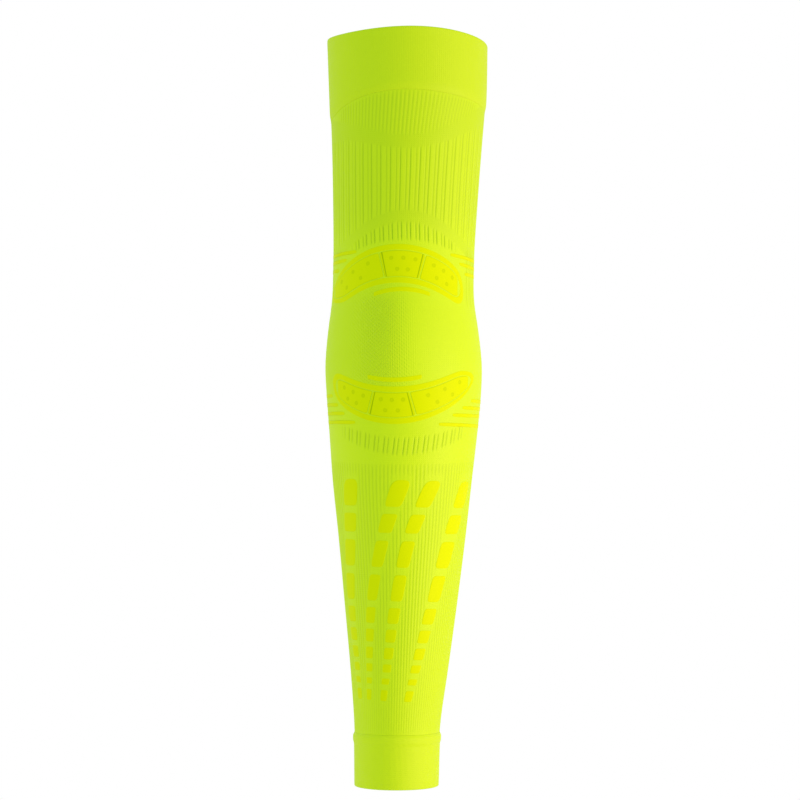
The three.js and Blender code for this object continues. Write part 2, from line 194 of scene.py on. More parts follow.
def pillow_skin(name, top, under, **shares):
    """Closed skin of top[row, place] and under[row, place], which share the points of the border."""
    rows, places = top.shape[:2]
    inside = (slice(1, -1), slice(1, -1))
    upper = np.arange(rows * places).reshape(rows, places)
    lower = upper.copy()
    lower[inside] = rows * places + np.arange((rows - 2) * (places - 2)).reshape(rows - 2, -1)
    faces = []
    for side, turn in ((upper, 1), (lower, -1)):
        corners = [side[:-1, :-1], side[1:, :-1], side[1:, 1:], side[:-1, 1:]]
        faces.append(np.stack(corners, axis=-1).reshape(-1, 4)[:, ::turn])
    points = np.concatenate([top.reshape(-1, 3), under[inside].reshape(-1, 3)])
    both = {label: np.append(values, values[inside]) for label, values in shares.items()}
    return new_piece(name, points, np.concatenate(faces), **both)


# %% [markdown]
# ## Zones of the knit
# The machine changes its stitch along curved lines, so each zone of ribs ends in an arc that is
# lowest or highest on the elbow side. One formula draws all these arcs. The rows of the grid follow
# them, which keeps the ends of the ribs crisp without a dense mesh.

# %% Arcs where the stitch changes
# Front and side level in mm, how sharply the arc bends between them, and its slant towards +X
CUFF_EDGE = (29.8, 41.5, 1.3, -2.9)
ARCS = [
    (54.5, 38.7, 2, -4.9), (60.5, 50.3, 3, -4.5), (94.5, 116.6, 2, 0), (99.5, 122.0, 2, 0),
    (110.5, 121.5, 2, 0), (213.3, 202.6, 2, 0), (224.1, 209.5, 2, 0), (227.6, 225.0, 1, 0),
]
WRIST_SEAM = 371.0
# Gap between knitted pieces, and least height of a zone, in mm
SEAM_GAP, LEAST_ZONE = 0.02, 0.4
TUBE_PLACES = 1024
# Places lie closer at the front, by 1 - density * cos(angle)
FRONT_DENSITY = 0.5


def arc(shape, angle):
    """side + (front - side) * cos(angle)^bend on the front half, level at the back, and a slant
    that grows with the cube of the sine."""
    front, side, bend, slant = shape
    facing = np.clip(np.cos(np.radians(angle)), 0, None)
    return side + (front - side) * facing ** bend + slant * np.sin(np.radians(angle)) ** 3


turn = np.arange(TUBE_PLACES) * 360 / TUBE_PLACES - 180
tube_angle = turn - np.degrees(FRONT_DENSITY * np.sin(np.radians(turn)))
edges = [arc(CUFF_EDGE, tube_angle) + SEAM_GAP]
for shape in ARCS:
    edges.append(np.maximum(arc(shape, tube_angle), edges[-1] + LEAST_ZONE))
edges.append(np.full(TUBE_PLACES, WRIST_SEAM - SEAM_GAP))
print("Arcs at the front, mm:", [round(float(edge[TUBE_PLACES // 2]), 1) for edge in edges])

# %% [markdown]
# ## Columns on the forearm
# Four columns run down the forearm. They lean, draw together and narrow towards the wrist, and they
# carry the film blocks. The knit is plain along them, so that the film has an even ground to bond to.
# Four places on each column are enough, and the smooth cubic fills in the rest.

# %% Forearm columns
# For each column: down in mm, middle angle in degrees, width in mm
BLOCK_COLUMNS = np.array([
    [(236, -47, 12.0), (265, -54, 11.6), (300, -61, 9.5), (353, -56, 4.2)],
    [(236, 0, 10.6), (265, -16.2, 7.8), (300, -30.5, 6.4), (353, -39.5, 3.4)],
    [(236, 27, 10.4), (265, 7.6, 7.7), (300, -5, 6.5), (353, -19, 3.6)],
    [(236, 65, 13.0), (265, 49, 12.2), (300, 34, 8.6), (353, 11.5, 4.1)],
])
# Plain strip along a column: start, end, run of its soft ends, and margin beside the film, in mm
STRIP_START, STRIP_END, STRIP_SOFT, STRIP_MARGIN = 231, 358, 4, 0.5


def degrees_across(width, angle, down):
    """Angle that a width in mm takes up on the ellipse: width / hypot(wide cos, deep sin)."""
    wide, deep = smooth(SECTIONS, 1, down), smooth(SECTIONS, 2, down)
    turn = np.radians(angle)
    return np.degrees(width / np.hypot(wide * np.cos(turn), deep * np.sin(turn)))


def soft_step(share):
    """0 below 0, 1 above 1, and 3t^2 - 2t^3 between."""
    t = np.clip(share, 0, 1)
    return t * t * (3 - 2 * t)


def window(value, start, end, rise, fall=None):
    """0 outside start and end and 1 between them, with a soft step inside each: as long as rise at
    the start, and as long as fall, or again rise, at the end."""
    return soft_step((value - start) / rise) * soft_step((end - value) / (fall or rise))


def plain_strip(column, angle, down):
    """1 along a column and its margin, 0 elsewhere; the border takes one degree."""
    middle = smooth(column, 1, down)
    half = degrees_across(smooth(column, 2, down) / 2 + STRIP_MARGIN, middle, down)
    length = window(down, STRIP_START, STRIP_END, STRIP_SOFT)
    return length * soft_step(half + 0.5 - np.abs(angle - middle))


print("Columns at the wrist end, degrees:", BLOCK_COLUMNS[:, -1, 1].tolist())

# %% [markdown]
# ## Ribs
# A rib is a column of stitches that stands up between two grooves. The coarse ribs go two and two: a
# narrow one between two grooves, then a wide one. Finer ribs are all alike. The grooves here are
# real geometry, because they catch the side light; single stitches are left to the material.

# %% Patterns of ribs
# For each pattern: repeats round the arm, groove depth in mm, half space of a pair of grooves as a
# share of the repeat, depth share of its left groove, narrowness, lean in degrees for each mm, how
# fast the lean grows to the right, angle of the middle of a repeat, and angle where the ribs fade
RIBS = {
    "slanted": (122, 0.16, 0, 1, 2, 0.12, 0.025, 0.0, 60),
    "coarse": (48, 0.24, 0.2, 0.6, 20, 0, 0, 1.0, 400),
    "above the elbow": (49, 0.35, 0.2, 0.7, 20, -0.1, 0, 3.2, 46),
    "below the elbow": (46, 0.24, 0.2, 1.35, 26, 0.15, 0, 2.2, 53),
    "fine": (112, 0.15, 0, 1, 1.8, 0, 0, 1.1, 400),
}
# In degrees: the run over which ribs fade at the sides, their waver, and where the fan stops
SIDE_FADE, RIB_WAVER, FAN_END = 8, 0.35, 60


def rib_depth(pattern, angle, down):
    """Depth of the grooves in mm. A groove is ((1 + cos(phase)) / 2) ^ narrow, and a pair of grooves
    lies at both sides of the middle of each repeat. The ribs lean as they go down, by
    lean * exp(fan * angle), and waver with sin(4 * angle + down / 16 mm)."""
    count, depth, half, left, narrow, lean, fan, middle, fade = RIBS[pattern]
    shift = lean * np.exp(fan * np.clip(angle, -FAN_END, FAN_END)) * (down - down.mean(axis=0))
    waver = RIB_WAVER * np.sin(np.radians(4 * angle) + down / 16)
    phase = (angle - middle + shift + waver) * count / 360
    pair = [((1 + np.cos(2 * np.pi * (phase + side))) / 2) ** narrow for side in (half, -half)]
    sides = soft_step((fade + SIDE_FADE / 2 - np.abs(angle)) / SIDE_FADE)
    return depth * sides * np.maximum(left * pair[0], pair[1])


# %% [markdown]
# ## Rows of the tube
# Nine zones follow each other down the arm, from one arc to the next. In each, the rows of the grid
# lie closer at both ends, where the ribs start and stop. The coarse ribs also run on round the back
# beside the upper band, and the strips under the film blocks stay plain.

# %% Rows of the tube and their grooves
# Zones down the arm: rows of the grid, and the pattern of ribs, where None is plain knit
ZONES = [
    (8, "slanted"), (2, None), (9, "coarse"), (3, None), (7, "above the elbow"), (24, None),
    (7, "below the elbow"), (2, None), (20, "fine"),
]
RIB_END = 1.5
# Towards the wrist the ribs lose a share of their depth: share, level where it starts, and run
RIB_LOSS, LOSS_START, LOSS_RUN = 0.4, 300, 70
# One more row close to each end keeps the shading level right up to the cut edge
EDGE_LOOP = 0.04
# Ribs round the back: start, turn and run of the soft sides in degrees; lowest level and the runs
# of the soft top and low end in mm
BACK_START, BACK_TURN, BACK_SOFT = 57, 225, 6
BACK_END, BACK_RISE, BACK_FALL = 147, 4, 8

plain = np.zeros((1, TUBE_PLACES))
rows_down, rows_groove = [edges[0][None]], [plain]
edges[0], edges[-1] = edges[0] + EDGE_LOOP, edges[-1] - EDGE_LOOP
for (rows, pattern), start, end in zip(ZONES, edges[:-1], edges[1:]):
    share = (1 - np.cos(np.pi * np.arange(rows) / rows))[:, None] / 2
    down = start + (end - start) * share
    depth = rib_depth(pattern, tube_angle, down) if pattern else np.zeros(down.shape)
    rows_down.append(down)
    rows_groove.append(depth * window(down, start, end, RIB_END))
outer_down = np.concatenate([*rows_down, edges[-1][None], edges[-1][None] + EDGE_LOOP])
groove = np.concatenate([*rows_groove, plain, plain])
groove = groove * (1 - RIB_LOSS * soft_step((outer_down - LOSS_START) / LOSS_RUN))

back = window((tube_angle - BACK_START) % 360, 0, BACK_TURN, BACK_SOFT)
back = back * window(outer_down, edges[3], BACK_END, BACK_RISE, BACK_FALL)
groove = np.maximum(groove, back * rib_depth("coarse", tube_angle, outer_down))
for column in BLOCK_COLUMNS:
    groove = groove * (1 - plain_strip(column, tube_angle, outer_down))
print("Rows:", len(outer_down), "deepest groove, mm:", round(float(groove.max()), 2))

# %% [markdown]
# ## Skin of the tube
# The outside and a few rows of lining close to one skin. Beside the groove's depth the mesh keeps a
# darkening: painted shade on the elbow's shaded left side, and a darker tone above the elbow and in
# two plain bands. It also keeps where the grain of the elbow stands up.

# %% Skin, tone and grain of the tube
KNIT_WALL = 1.2
LINING_LEVELS = [338, 264, 212, 194, 176, 157, 140, 122, 92, 60]
# Darkening, as deep in colour as a groove of this depth in mm: painted shade on the elbow's left
# side, and a darker tone above the elbow and in two plain bands
DARKENING_DEPTH = 0.075
# Above the elbow it ends at this level, over this run, and it also fills these two plain zones
DARK_TONE_END, DARK_TONE_FADE, DARK_TONE_ZONES = 112, 20, (1, 3)
# Start, end and runs of the soft ends: levels of the elbow, angles of its grain and of its shaded
# left side, where shade is painted
ELBOW_LEVELS = (128, 198, 18)
GRAIN_ANGLES, SHADED_SIDE_ANGLES = (-52, 16, 34, 30), (-100, 6, 30)

lining = np.repeat(np.array(LINING_LEVELS, float)[:, None], TUBE_PLACES, axis=1)
inner_down = np.concatenate([outer_down[-1:], lining, outer_down[:1]])
tube_down = np.concatenate([outer_down, inner_down])
tube_lift = np.concatenate([-groove, np.full_like(inner_down, -KNIT_WALL)])
tube_groove = np.concatenate([groove, np.zeros_like(inner_down)])

elbow = window(tube_down, *ELBOW_LEVELS)
grain = elbow * window(tube_angle, *GRAIN_ANGLES)
# Painted shade on the elbow's shaded left side, plus a darker tone above the elbow and in two plain
# bands
shade_and_tone = elbow * window(tube_angle, *SHADED_SIDE_ANGLES) + soft_step((DARK_TONE_END - tube_down) / DARK_TONE_FADE)
for zone in DARK_TONE_ZONES:
    shade_and_tone = shade_and_tone + window(tube_down, edges[zone] - RIB_END, edges[zone + 1] + RIB_END, RIB_END)
# The groove attribute carries the groove's depth, for painted groove shade, together with this
# darkening
tube_darkening = tube_groove + DARKENING_DEPTH * shade_and_tone
tube = knit_skin("knit_tube", tube_angle, tube_down, tube_lift, groove=tube_darkening, grain=grain)
print("Tube triangles:", 2 * len(tube.data.polygons))

# %% [markdown]
# ## Walls of the cuffs
# Each end is turned over on itself and caught down, so it is twice as thick, smooth and rounded at
# its fold. One closed profile is the section of such a wall, and it goes once round the arm.

# %% Profile of a turned-over wall
CUFF_WALL = 2.0
# Points in a round, and its power
ROUND_POINTS, ROUND_POWER = 15, 2.5


def wall_profile(length, outer, top_round, low_round, rows):
    """Down and lift round a wall's section: up round the fold, down the outside, round the lower
    edge and back up the inside; both rounds are superellipses, cos and sin to 2 / power."""
    turn = np.linspace(0, np.pi, ROUND_POINTS)
    bend = np.stack([np.cos(turn), np.sin(turn)], axis=-1)
    bend = np.sign(bend) * np.abs(bend) ** (2 / ROUND_POWER)
    middle, half = outer - CUFF_WALL / 2, CUFF_WALL / 2
    fold = np.stack([top_round * (1 - bend[:, 1]), middle - half * bend[:, 0]], axis=-1)
    low = np.stack([length - low_round * (1 - bend[:, 1]), middle + half * bend[:, 0]], axis=-1)
    run = np.linspace(top_round, length - low_round, rows + 2)[1:-1]
    outside = np.stack([run, np.full(rows, outer)], axis=-1)
    inside = np.stack([run[::-1], np.full(rows, outer - CUFF_WALL)], axis=-1)
    profile = np.concatenate([fold, outside, low, inside])
    return profile[:, :1], profile[:, 1:]


# %% [markdown]
# ## Upper cuff and wrist cuff
# The mouth of the upper cuff rises at the front, and its lower edge thins out to lie on the tube. The
# wrist cuff starts with a soft roll where the turned edge is caught.

# %% Both cuffs
CUFF_PLACES = 448
WRIST_END = 400.0
# Length, lift of the outside, and height of the rounds at the top and low edge in mm; rows between
UPPER_WALL = (33.0, 0.6, 1.0, 0.05, 30)
WRIST_WALL = (WRIST_END - WRIST_SEAM, 0.5, 0.05, 0.7, 60)
# Hem of the mouth in mm: rise at the front, slant to the right, and twist
HEM_RISE, HEM_SLANT, HEM_TWIST = 4.0, 1.9, 1.2
# The upper cuff thins by this many mm over this last share of its length
EDGE_THIN, EDGE_SHARE = 0.56, 0.12
# In mm: height, middle and half width of the roll, and depth and width of the dip at its seam
ROLL_HEIGHT, ROLL_MIDDLE, ROLL_HALF, DIP_DEPTH, DIP_WIDTH = 0.45, 3.2, 2.2, 0.46, 0.9


def hem_level(angle):
    """slant * sin(angle) - rise * cos(angle) * (1 + cos(angle)^2) / 2 - twist * sin(2 * angle)."""
    sine, cosine = np.sin(np.radians(angle)), np.cos(np.radians(angle))
    rise = HEM_RISE * cosine * (1 + cosine ** 2) / 2
    return HEM_SLANT * sine - rise - 2 * HEM_TWIST * sine * cosine


cuff_angle = np.arange(CUFF_PLACES) * 360 / CUFF_PLACES - 180
along, lift = wall_profile(*UPPER_WALL)
share = along / UPPER_WALL[0]
hem = hem_level(cuff_angle)
down = hem + (arc(CUFF_EDGE, cuff_angle) - hem) * share
lift = lift - EDGE_THIN * soft_step((share - 1 + EDGE_SHARE) / EDGE_SHARE) * (lift > 0)
upper_cuff = knit_skin("upper_cuff_knit", cuff_angle, down, lift)

along, lift = wall_profile(*WRIST_WALL)
roll = ROLL_HEIGHT * np.exp(-((along - ROLL_MIDDLE) / ROLL_HALF) ** 4)
roll = roll - DIP_DEPTH * np.exp(-(along / DIP_WIDTH) ** 2)
lift = lift + roll * (lift > 0)
wrist_cuff = knit_skin("wrist_cuff_knit", cuff_angle, WRIST_SEAM + along, lift)
print("Cuff triangles:", 2 * len(upper_cuff.data.polygons), 2 * len(wrist_cuff.data.polygons))

# %% [markdown]
# ## Film patches
# The yellow parts are elastic film, cut to shape and pressed on hot. The film bridges the ribs, so
# it looks smooth where the knit is lined, and its cut edge is softly rounded. A square grid is drawn
# in to a rounded patch, and the lift rises in a quarter circle from the edge.

# %% One patch of film
# In mm: lift of the film's top and underside, width of its rounded edge, depth of a pressed mark
FILM_TOP, FILM_UNDER, FILM_ROUND, FILM_PRESS = 0.09, -0.30, 0.35, 0.05


def film_grid(across, up, corner):
    """Grid over -1..1 both ways, denser at its edges, with corners drawn in to a superellipse,
    (x, y) / (1 + (smaller / larger)^power)^(1 / power). corner is the power, or the lower and the
    upper one."""
    lines = [np.linspace(-1, 1, count + 1) for count in (across, up)]
    x, y = ((t + np.sin(np.pi / 2 * t)) / 2 for t in lines)
    y, x = np.meshgrid(y, x, indexing="ij")
    low_corner, top_corner = np.broadcast_to(corner, 2)
    power = np.where(y > 0, top_corner, low_corner)
    large = np.maximum(np.maximum(abs(x), abs(y)), 1e-9)
    small = np.minimum(abs(x), abs(y))
    pull = (1 + (small / large) ** power) ** (-1 / power)
    return x * pull, y * pull


def edge_distance(points):
    """Shortest way in mm along the grid lines from each point to the border."""
    ways = []
    for axis in (0, 1):
        step = np.linalg.norm(np.diff(points, axis=axis), axis=-1)
        run = np.insert(np.cumsum(step, axis=axis), 0, 0, axis=axis)
        ways += [run, run.take([-1], axis=axis) - run]
    return np.min(ways, axis=0)


def film_lift(way):
    """Lift of the film's top, way mm from its border: a quarter circle at first, then level."""
    inward = np.clip(way / FILM_ROUND, 0, 1)
    return FILM_UNDER + (FILM_TOP - FILM_UNDER) * np.sqrt(1 - (1 - inward) ** 2)


def film_patch(name, place, across, up, corner, pressed=None):
    """Patch over place(x, y), which gives angle and down. pressed(x, points, way) gives the share,
    from 0 to 1, by which the film is pressed down at each point; way is the mm to the border."""
    x, y = film_grid(across, up, corner)
    angle, down = place(x, y)
    flat = on_sleeve(angle, down, 0)
    way = edge_distance(flat)
    bare = np.zeros(angle.shape) if pressed is None else pressed(x, flat, way)
    top = on_sleeve(angle, down, film_lift(way) - FILM_PRESS * bare)
    return pillow_skin(name, top, on_sleeve(angle, down, FILM_UNDER), bare=bare)


# %% [markdown]
# ## Forearm blocks
# The blocks lie on the four columns in ten rows, and the rows slant a little down to the right.
# Row levels are all that is new here: the columns already say where a block lies and how wide it is.

# %% Forearm blocks
# Top and bottom of each row, and its slant, in mm
BLOCK_ROWS = [(236.0, 250.5), (254.0, 264.2), (268.0, 282.4), (286.0, 300.2), (303.5, 312.0),
              (315.0, 321.9), (324.6, 330.8), (333.5, 337.8), (341.0, 344.2), (347.2, 353.0)]
BLOCK_SLANT = 0.9
# The border dips into the knit, so a block is drawn larger by what it hides
FILM_HIDDEN = 0.15
# Power of the corners; the first row has rounder shoulders
BLOCK_CORNER, FIRST_CORNER = 6, (6, 3.4)
BLOCK_GRID = (20, 20)


def block_place(column, top, bottom):
    """Place in a block: its sides follow the column, and its level falls with sin(angle)."""
    def place(x, y):
        level = (top + bottom) / 2 - y * ((bottom - top) / 2 + FILM_HIDDEN)
        middle = smooth(column, 1, level)
        half = smooth(column, 2, level) / 2 + FILM_HIDDEN
        angle = middle + x * degrees_across(half, middle, level)
        return angle, level + BLOCK_SLANT * np.sin(np.radians(angle))
    return place


films = {}
for column_number, column in enumerate(BLOCK_COLUMNS, 1):
    for row_number, (top, bottom) in enumerate(BLOCK_ROWS, 1):
        number = f"{column_number}_{row_number}"
        corner = FIRST_CORNER if row_number == 1 else BLOCK_CORNER
        place = block_place(column, top, bottom)
        block = film_patch(f"film_block_{number}", place, *BLOCK_GRID, corner)
        films[f"forearm_block_{number}"] = block
print("Blocks:", len(films))

# %% [markdown]
# ## Elbow bands
# Above and below the elbow point lies an arched band: a rim, and inside it three panels. Its outline
# is an arch that stands on two feet, or hangs from them. A place in a band is given along the arch
# and up from its middle line, both from -1 to 1.

# %% Places in an elbow band
# Crown of the arch and the spans to its left and right end in degrees; level and bow of the upper
# and of the lower edge, level of the feet, and slant to the right in mm
BANDS = {
    "upper_elbow": (-2, 80, 59.5, 112.0, 30, 133.0, 30, 144.3, 1.5),
    "lower_elbow": (-7, 57.5, 69.5, 187.0, -26, 207.0, -32, 177.8, 0),
}
FOOT_ROUND = 2.5


def band_edge(level, bow, turn, foot):
    """Level of an edge: it bows with 1 - cos(swing) and turns level at the foot by a soft minimum,
    (a + b - hypot(a - b, round)) / 2, or the maximum for a hanging arch."""
    bowed = level + bow * turn
    return (bowed + foot - np.sign(bow) * np.hypot(bowed - foot, FOOT_ROUND)) / 2


def in_band(band, along, up):
    """Angle and down at a place of a band: between its two edges, and lower to the right by
    slant * sin(angle)."""
    crown, left, right, top, top_bow, bottom, bottom_bow, foot, slant = band
    swing = np.where(along < 0, left, right) * along
    turn = 1 - np.cos(np.radians(swing))
    high, low = band_edge(top, top_bow, turn, foot), band_edge(bottom, bottom_bow, turn, foot)
    angle = crown + swing
    return angle, (high + low) / 2 - up * (low - high) / 2 + slant * np.sin(np.radians(angle))


def band_shares(band, width):
    """A width in mm as degrees round the arm, and as a share of the band's half height."""
    middle = (band[3] + band[5]) / 2
    return degrees_across(width, band[0], middle), 2 * width / (band[5] - band[3])


# %% [markdown]
# ## Rims
# A rim is a rounded strip of film carried once round the outline of its band. Its section is a row of
# points across the top and one point below, so the skin closes both ways like a ring.

# %% Rims of the elbow bands
RIM_WIDTH = 3.3
# Power of the outline, and how far its long sides reach along the arch
SQUARENESS, END_REACH = 12, 0.92
# Points along a long side, round an end, and across the rim
LONG_POINTS, END_POINTS, RIM_POINTS = 100, 32, 13


def outline_height(along):
    """Half height of the outline, sqrt(1 - along^12): nearly square, with round ends."""
    return np.sqrt(np.clip(1 - np.abs(along) ** SQUARENESS, 0, 1))


long_side = np.linspace(-END_REACH, END_REACH, LONG_POINTS, endpoint=False)
long_height = outline_height(long_side)
short_side = np.linspace(-1, 1, END_POINTS, endpoint=False) * outline_height(END_REACH)
end_side = (1 - short_side ** 2) ** (1 / SQUARENESS)
outline_x = np.concatenate([long_side, end_side, -long_side, -end_side])
outline_y = np.concatenate([long_height, -short_side, -long_height, short_side])

across = (1 - np.cos(np.linspace(0, np.pi, RIM_POINTS))) / 2
lift = film_lift(np.minimum(across, 1 - across) * RIM_WIDTH)
across, lift = np.append(across, 0.5)[:, None], np.append(lift, FILM_UNDER)[:, None]
for label, band in BANDS.items():
    degrees, share_up = band_shares(band, RIM_WIDTH)
    share_along = degrees / np.where(outline_x < 0, band[1], band[2])
    place = outline_x * (1 - share_along * across), outline_y * (1 - share_up * across)
    angle, down = in_band(band, *place)
    points = on_sleeve(angle, down, lift)[:, ::-1]
    films[f"{label}_rim"] = ring_skin(f"film_{label}_rim", points, bare=np.zeros(down.shape))
print("Points round a rim:", len(outline_x))

# %% [markdown]
# ## Panels
# Two splits divide the inside of a band into three panels. The splits lean, as the sides of a
# keystone do. The space between rim and panels shows the green knit as a thin line.

# %% Places in a panel
# Angles of the two splits, lean of a split, and half the gap at it, in degrees
SPLITS = {"upper_elbow": (-17.8, 15.2), "lower_elbow": (-25.5, 6.5)}
SPLIT_LEAN, SPLIT_HALF_GAP = 2.7, 0.1
# Gap beside the rim in mm, and share of the inside's length that the panels take up
PANEL_INSET, PANEL_END = 0.1, 0.95


def panel_place(band, splits, number):
    """Place in panel 0, 1 or 2 of a band. The splits lean, and the outer ends keep to the outline."""
    degrees, share_up = band_shares(band, RIM_WIDTH + PANEL_INSET)
    crown, left, right = band[:3]

    def place(x, y):
        lean = SPLIT_LEAN * np.sign(band[4]) * y
        ends = [-PANEL_END * (left - degrees), splits[0] - lean - crown,
                splits[1] + lean - crown, PANEL_END * (right - degrees)]
        start = ends[number] + SPLIT_HALF_GAP * (number > 0)
        end = ends[number + 1] - SPLIT_HALF_GAP * (number < 2)
        swing = start + (end - start) * (x + 1) / 2
        span = np.where(swing < 0, left, right)
        reach = outline_height(swing / (span - degrees)) * (1 - share_up)
        return in_band(band, swing / span, y * reach)

    return place


# %% [markdown]
# ## Pressed marks
# A hot tool presses small dots into each panel in a plain staggered repeat, and one line beside each
# end of the middle panel. Where the film is pressed into the knit, the green shows through a little:
# the same share that lowers the film also tints it.

# %% Panels with pressed marks
# Places of the dots in a panel, from -1 to 1 across and up
DOT_LAYOUT = [(-0.5, 0.42), (0.05, 0.42), (0.6, 0.42), (-0.25, -0.42), (0.3, -0.42)]
# A dot's radius and soft edge in mm, and the share that it is pressed
DOT_RADIUS, DOT_SOFT, DOT_PRESS = 1.1, 0.35, 0.42
# A line's place and half width across the panel
LINE_PLACE, LINE_HALF_WIDTH = 0.88, 0.025
# The share that the cut edge is pressed, and its width in mm
CUT_PRESS, CUT_WIDTH = 0.35, 0.6
PANEL_GRID, PANEL_CORNER = (96, 40), 16


def marks(centres, number):
    """Pressed share: a dot falls to 0 over its soft edge and to half in its middle, a line over half
    its own width, and the cut edge is pressed thin. Only the middle panel has lines."""
    def pressed(x, points, way):
        off = np.min([np.linalg.norm(points - centre, axis=-1) for centre in centres], axis=0)
        dot = soft_step((DOT_RADIUS - off) / DOT_SOFT + 0.5)
        dot = dot * (0.5 + 0.5 * soft_step(off / DOT_RADIUS))
        beside = np.abs(np.abs(x) - LINE_PLACE)
        line = soft_step((LINE_HALF_WIDTH - beside) / LINE_HALF_WIDTH + 0.5)
        cut = soft_step(2 - 2 * way / CUT_WIDTH)
        return np.max([DOT_PRESS * dot, (number == 1) * line, CUT_PRESS * cut], axis=0)
    return pressed


for label, band in BANDS.items():
    for number in range(3):
        place = panel_place(band, SPLITS[label], number)
        centres = [on_sleeve(*place(x, y), 0) for x, y in DOT_LAYOUT]
        name = f"{label}_panel_{number + 1}"
        pressed = marks(centres, number)
        films[name] = film_patch(f"film_{name}", place, *PANEL_GRID, PANEL_CORNER, pressed)
print("Film pieces so far:", len(films))

# %% [markdown]
# ## Stripes and straps
# A short stripe sits between each band and the elbow point. Narrow straps leave the bands and run
# round the back of the arm. Both are long patches that follow an arc.

# %% Stripes and straps
# Middle and half span in degrees, level and bow in mm
STRIPES = {"upper_elbow_stripe": (-1, 23, 136.0, 35), "lower_elbow_stripe": (-7, 20, 183.8, -29)}
# Level at the front and at the sides and slant to the right in mm, angles of both ends; the way
# goes round the back
STRAPS = {
    "upper_strap_1": (115, 118, 1.3, 40, -41), "upper_strap_2": (118.5, 122, 1.4, 51, -53),
    "upper_strap_3": (125, 126.2, 1.2, 59, -65), "lower_strap_1": (193, 193, 1.5, 60, -66),
    "lower_strap_2": (197.3, 197.3, 1, 49, -58), "lower_strap_3": (201.6, 201.6, 0.7, 39, -50),
    "lower_strap_4": (206.5, 206.5, 1, 27, -39),
}
STRIPE_HEIGHT, STRAP_HEIGHT = 2.7, 2.3
STRIPE_GRID, STRAP_GRID, STRIPE_CORNER = (60, 10), (240, 8), 8


def stripe_place(middle, half_span, level, bow):
    """Place in a stripe: its level bows with 1 - cos of the angle from its middle."""
    def place(x, y):
        down = level + bow * (1 - np.cos(np.radians(half_span * x))) - y * STRIPE_HEIGHT / 2
        return middle + half_span * x, down
    return place


def strap_place(front, side, slant, start, end):
    """Place in a strap: it follows an arc from start round the back to end, and slants by
    slant * sin(angle)."""
    def place(x, y):
        angle = start + (end + 360 - start) * (x + 1) / 2
        level = arc((front, side, 2, 0), angle) + slant * np.sin(np.radians(angle))
        return angle, level - y * STRAP_HEIGHT / 2
    return place


for node, shape in STRIPES.items():
    films[node] = film_patch(f"film_{node}", stripe_place(*shape), *STRIPE_GRID, STRIPE_CORNER)
for node, shape in STRAPS.items():
    films[node] = film_patch(f"film_{node}", strap_place(*shape), *STRAP_GRID, STRIPE_CORNER)
film_triangles = sum(2 * len(piece.data.polygons) for piece in films.values())
print("Film pieces:", len(films), "triangles:", film_triangles)

# %% [markdown]
# ## Materials
# Colours are written as the sRGB hex of the yarn or film in even light, and one function turns them
# to the linear values that a renderer works with. The groove green is the exception: it is painted
# shade. One more function adds a node with its settings, and a few short ones use it for what every
# material needs.

# %% Colour and node helpers
def linear(hex_colour):
    """sRGB hex to linear RGBA: c / 12.92 for dark values, else ((c + 0.055) / 1.055) ^ 2.4."""
    c = np.array([int(hex_colour[i:i + 2], 16) / 255 for i in (1, 3, 5)])
    return (*np.where(c <= 0.04045, c / 12.92, ((c + 0.055) / 1.055) ** 2.4), 1.0)


def add_node(tree, kind, inputs=None, **settings):
    """New node with its settings; an input is a value, or the socket that feeds it."""
    node = tree.nodes.new(kind)
    for label, value in settings.items():
        setattr(node, label, value)
    for socket, value in (inputs or {}).items():
        if isinstance(value, bpy.types.NodeSocket):
            tree.links.new(value, node.inputs[socket])
        else:
            node.inputs[socket].default_value = value
    return node


def reckon(tree, operation, *values):
    """Socket with the result of a math node on these values or sockets."""
    return add_node(tree, "ShaderNodeMath", dict(enumerate(values)), operation=operation).outputs[0]


def two_tone(tree, share, first, second):
    """Socket with a colour that goes from the first hex to the second as the share goes 0 to 1."""
    ramp = add_node(tree, "ShaderNodeValToRGB", {"Fac": share})
    ramp.color_ramp.elements[0].color = linear(first)
    ramp.color_ramp.elements[1].color = linear(second)
    return ramp.outputs["Color"]


def new_material(name):
    """Material without nodes, and its node tree."""
    material = bpy.data.materials.new(name)
    material.use_nodes = True
    material.node_tree.nodes.clear()
    return material, material.node_tree


def add_surface(tree, inputs):
    """Principled shader with these inputs, as the material's surface."""
    shader = add_node(tree, "ShaderNodeBsdfPrincipled", inputs)
    add_node(tree, "ShaderNodeOutputMaterial", {"Surface": shader.outputs["BSDF"]})


# %% [markdown]
# ## The knit's stitches
# Plain knitting shows columns of small V shapes. The map on the mesh counts wales and courses, so a
# V is a wave along the column that is shifted by the distance from the column's middle. On the cuffs
# and over the elbow the wales also stand up as fine ridges. Over the elbow every second stitch is
# tucked, one course lower in each next wale, which the eye sees as a slanting grain. The yarn is
# nylon over elastane: matt, with only a little shine.

# %% Knit material
# The groove green is painted shade: the tube's knit turns darker with the depth of its grooves
KNIT_GREEN, GROOVE_SHADE_GREEN, CUFF_GREEN, WRIST_GREEN = "#ADD700", "#98C200", "#A7CF00", "#ADD600"
# Depth in mm at which the painted shade of a groove, and the darkening kept with it, is full
FULL_SHADE_DEPTH = 0.3
# Height of a stitch in mm, and how steeply its legs rise, in courses for each wale
RELIEF, LEG_RISE = 0.02, 1.2
# Over the elbow, in heights of a stitch: a tucked stitch, and the slope of a wale's sides
TWILL, RIDGE = 5.0, 14.0


